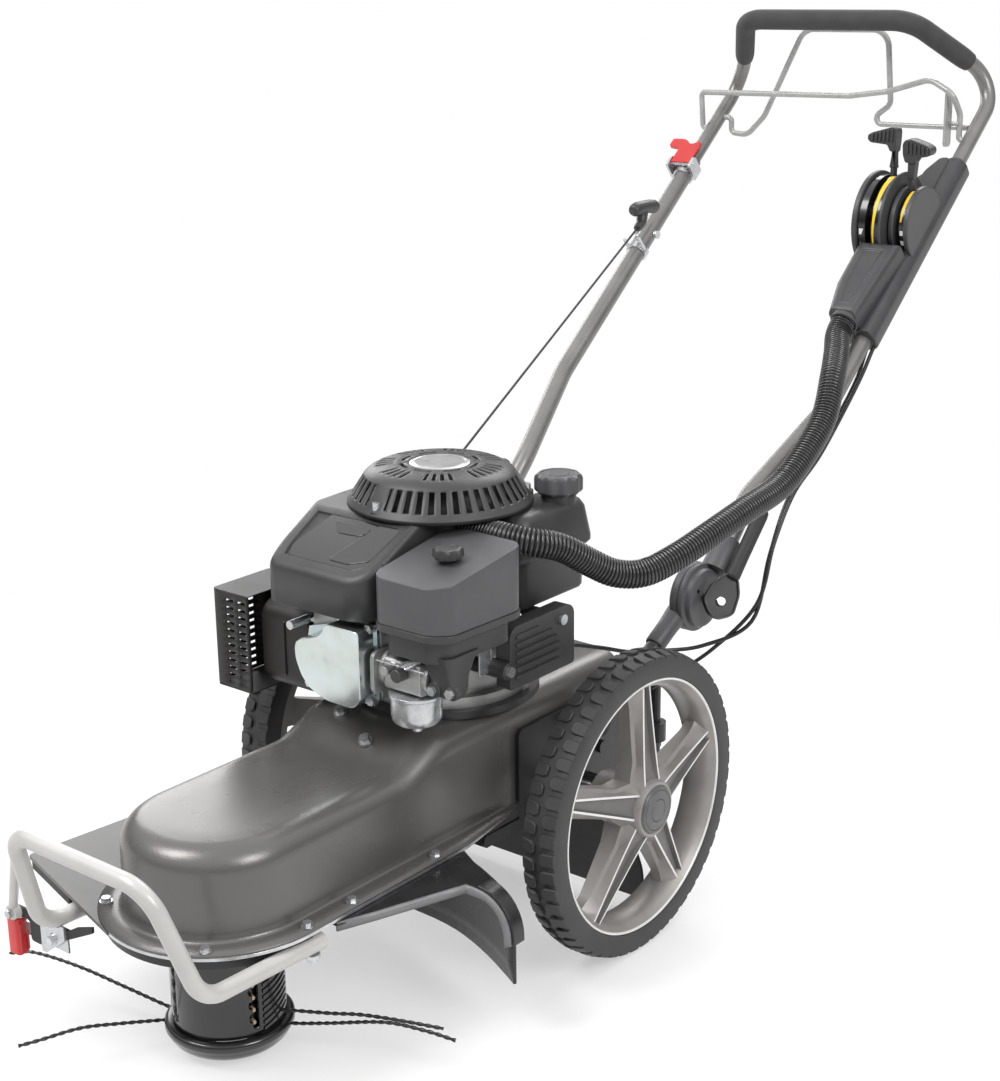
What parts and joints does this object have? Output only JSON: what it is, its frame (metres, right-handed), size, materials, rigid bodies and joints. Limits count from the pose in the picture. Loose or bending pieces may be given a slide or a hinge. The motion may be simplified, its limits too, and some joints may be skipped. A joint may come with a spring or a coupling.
{
  "type": "wheeled string trimmer",
  "caption": "Walk-behind wheeled string trimmer: pressed deck with a spinning line head, vertical-shaft engine, spoked wheels and a folding handle with bails and levers.",
  "frame": {"origin": "middle of the bottom of the box, on the ground", "axes": "front of the machine towards -Y, right side towards +X, up +Z"},
  "size_m": [0.5175, 1.4897, 1.026],
  "materials": {
    "deck_paint": "dark warm grey textured paint",
    "frame_paint": "satin black paint",
    "tube_paint": "grey hammered paint",
    "bumper_paint": "light warm grey paint",
    "zinc": "bright zinc plate",
    "steel": "turned steel",
    "cast_alloy": "sand-cast aluminium",
    "valve_plate": "bluish zinc plate",
    "black_plastic": "textured moulding",
    "dark_plastic": "fine textured moulding",
    "gloss_black": "smooth moulding",
    "muffler_black": "heat-proof satin black",
    "tyre_rubber": "matt tread rubber",
    "rim_silver": "warm silver moulding",
    "rubber": "flat rubber sheet",
    "foam": "closed-cell foam",
    "red_plastic": "red moulding",
    "wire_grey": "light grey coated rod",
    "cord": "twisted line, cable jacket and rope"
  },
  "bodies": {
    "frame": {"deck_shell": "deck_paint", "deck_base_plate": "zinc", "deck_bolts": "zinc", "mount_ring": "black_plastic", "front_bumper": "bumper_paint", "guard_plate": "deck_paint", "guard_skirt": "rubber", "line_knife": "zinc", "knife_cover": "red_plastic", "debris_shield": "black_plastic", "chassis_frame": "frame_paint", "rear_flap": "rubber", "axle": "steel", "gearbox": "cast_alloy", "spindle_housing": "cast_alloy", "engine_block": "cast_alloy", "valve_cover": "valve_plate", "engine_shroud": "black_plastic", "starter_cover": "black_plastic", "fuel_tank": "black_plastic", "air_filter_base": "black_plastic", "air_filter_cover": "dark_plastic", "carburettor": "cast_alloy", "muffler": "muffler_black", "muffler_guard": "muffler_black", "linkage_cover": "black_plastic", "engine_screws": "zinc", "pivot_bases": "frame_paint", "cutter_belt": "rubber", "conduit_hose": "cord", "control_cables": "cord", "recoil_rope": "cord"},
    "wheel_right": {"tyre_right": "tyre_rubber", "rim_right": "rim_silver", "hub_cap_right": "dark_plastic"},
    "wheel_left": {"tyre_left": "tyre_rubber", "rim_left": "rim_silver", "hub_cap_left": "dark_plastic"},
    "head": {"spindle": "steel", "head_drum": "gloss_black", "head_dome": "gloss_black", "trimmer_lines": "cord"},
    "crank": {"crankshaft": "steel"},
    "handle": {"pivot_uppers": "black_plastic", "handle_lower": "tube_paint", "handle_upper": "tube_paint", "grip_foam": "foam", "handle_hardware": "zinc", "control_box": "black_plastic"},
    "throttle": {"throttle_lever": "black_plastic"},
    "gear": {"gear_lever": "black_plastic"},
    "clamp_right": {"clamp_lever_right": "black_plastic"},
    "clamp_left": {"clamp_lever_left": "black_plastic"},
    "drive_bail": {"bail_drive": "wire_grey"},
    "stop_bail": {"bail_stop": "wire_grey"},
    "latch": {"handle_latch": "red_plastic"},
    "recoil": {"recoil_handle": "gloss_black"},
    "cap": {"fuel_cap": "dark_plastic"},
    "knob": {"filter_knob": "black_plastic"}
  },
  "joints": [
    {"name": "wheel_right_spin", "type": "hinge", "parent": "frame", "child": "wheel_right", "pos_m": [0.2165, -0.12475, 0.178], "axis": [1, 0, 0], "continuous": true},
    {"name": "wheel_left_spin", "type": "hinge", "parent": "frame", "child": "wheel_left", "pos_m": [-0.2165, -0.12475, 0.178], "axis": [1, 0, 0], "continuous": true},
    {"name": "crank_spin", "type": "hinge", "parent": "frame", "child": "crank", "pos_m": [0, -0.19475, 0.3], "axis": [0, 0, 1], "continuous": true},
    {"name": "head_spin", "type": "hinge", "parent": "frame", "child": "head", "pos_m": [0, -0.55175, 0.1], "axis": [0, 0, 1], "continuous": true},
    {"name": "handle_tilt", "type": "hinge", "parent": "frame", "child": "handle", "pos_m": [0, 0.08025, 0.358], "axis": [1, 0, 0], "range_deg": [-10, 15], "deforming": ["conduit_hose", "control_cables", "recoil_rope"]},
    {"name": "throttle_move", "type": "hinge", "parent": "handle", "child": "throttle", "pos_m": [0.172, 0.51994, 0.76015], "axis": [1, 0, 0], "range_deg": [-10, 30]},
    {"name": "gear_move", "type": "hinge", "parent": "handle", "child": "gear", "pos_m": [0.203, 0.51994, 0.76015], "axis": [1, 0, 0], "range_deg": [-6, 30]},
    {"name": "clamp_right_turn", "type": "hinge", "parent": "handle", "child": "clamp_right", "pos_m": [0.185, 0.08025, 0.358], "axis": [1, 0, 0], "range_deg": [-60, 0]},
    {"name": "clamp_left_turn", "type": "hinge", "parent": "handle", "child": "clamp_left", "pos_m": [-0.185, 0.08025, 0.358], "axis": [1, 0, 0], "range_deg": [-60, 0]},
    {"name": "drive_bail_pull", "type": "hinge", "parent": "handle", "child": "drive_bail", "pos_m": [0, 0.67546, 0.85493], "axis": [1, 0, 0], "range_deg": [-4, 30], "stiffness_Nm_per_rad": 2},
    {"name": "stop_bail_pull", "type": "hinge", "parent": "handle", "child": "stop_bail", "pos_m": [0, 0.69396, 0.87022], "axis": [1, 0, 0], "range_deg": [-35, 8], "stiffness_Nm_per_rad": 2},
    {"name": "latch_lift", "type": "hinge", "parent": "handle", "child": "latch", "pos_m": [-0.205, 0.59307, 0.8102], "axis": [1, 0, 0], "range_deg": [0, 35]},
    {"name": "recoil_pull", "type": "slide", "parent": "handle", "child": "recoil", "axis": [0, 0.5, 0.866], "range_m": [0, 0.22], "stiffness_N_per_m": 20, "deforming": ["recoil_rope"]},
    {"name": "fuel_cap_turn", "type": "hinge", "parent": "frame", "child": "cap", "pos_m": [0.095, -0.10075, 0.52], "axis": [0, 0, 1], "continuous": true},
    {"name": "filter_knob_turn", "type": "hinge", "parent": "frame", "child": "knob", "pos_m": [0.112, -0.31375, 0.5], "axis": [0, 0, 1], "continuous": true}
  ],
  "couplings": [
    {"joint": "head_spin", "follows": "crank_spin", "ratio": 0.8113}
  ]
}
